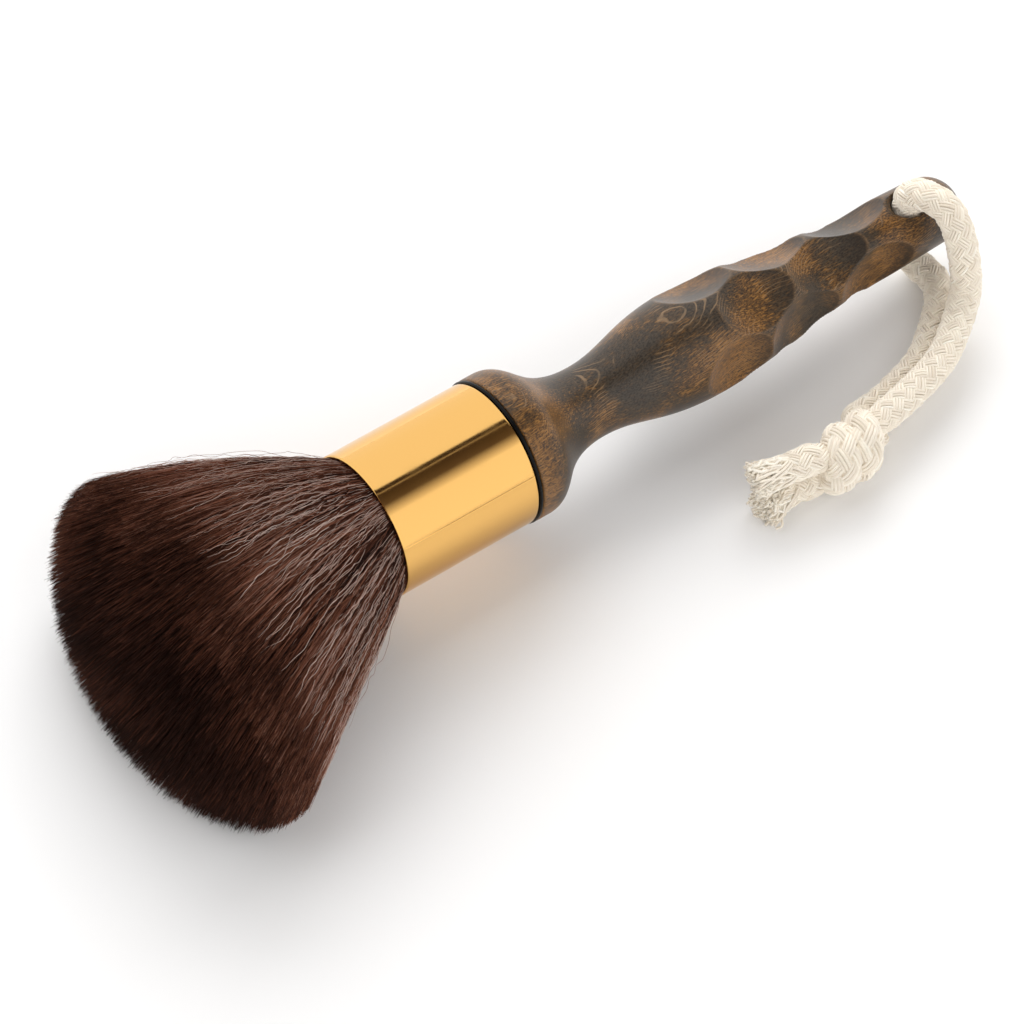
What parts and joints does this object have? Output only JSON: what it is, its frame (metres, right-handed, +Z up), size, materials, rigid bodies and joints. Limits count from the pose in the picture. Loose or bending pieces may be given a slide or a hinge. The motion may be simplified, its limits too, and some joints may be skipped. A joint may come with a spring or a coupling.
{
  "type": "neck duster brush",
  "caption": "Barber's neck duster lying on its side: fanned soft bristles in a gold ferrule, turned wooden handle with scooped grip, and a knotted braided hanging loop.",
  "frame": {"origin": "centre of the brush's footprint, on the surface it lies on; the cord loop is left out of that box", "axes": "+X along the brush from bristles to hanging loop, +Z up, the cord loop lying on the -Y side"},
  "size_m": [0.231, 0.0893, 0.053],
  "materials": {
    "dark_wood": "stained beech under a thin satin oil",
    "black_ring": "smooth, glossy",
    "gold_metal": "gold anodised, polished",
    "set_resin": "poured and set",
    "bristle": "fine crimped synthetic fibre",
    "cotton_cord": "natural braided cotton"
  },
  "bodies": {
    "brush": {"handle": "dark_wood", "spacer_ring": "black_ring", "ferrule": "gold_metal", "resin_plug": "set_resin", "bristle_tuft": "bristle"},
    "cord_loop": {"cord_leg_upper": "cotton_cord", "cord_leg_lower": "cotton_cord", "cord_knot": "cotton_cord", "cord_tail_upper": "cotton_cord", "cord_tail_lower": "cotton_cord"}
  },
  "joints": [
    {"name": "loop_swing", "type": "hinge", "parent": "brush", "child": "cord_loop", "pos_m": [0.10224, 0.0018, 0.01565], "axis": [0, 0, 1], "range_deg": [-8, 180]}
  ]
}
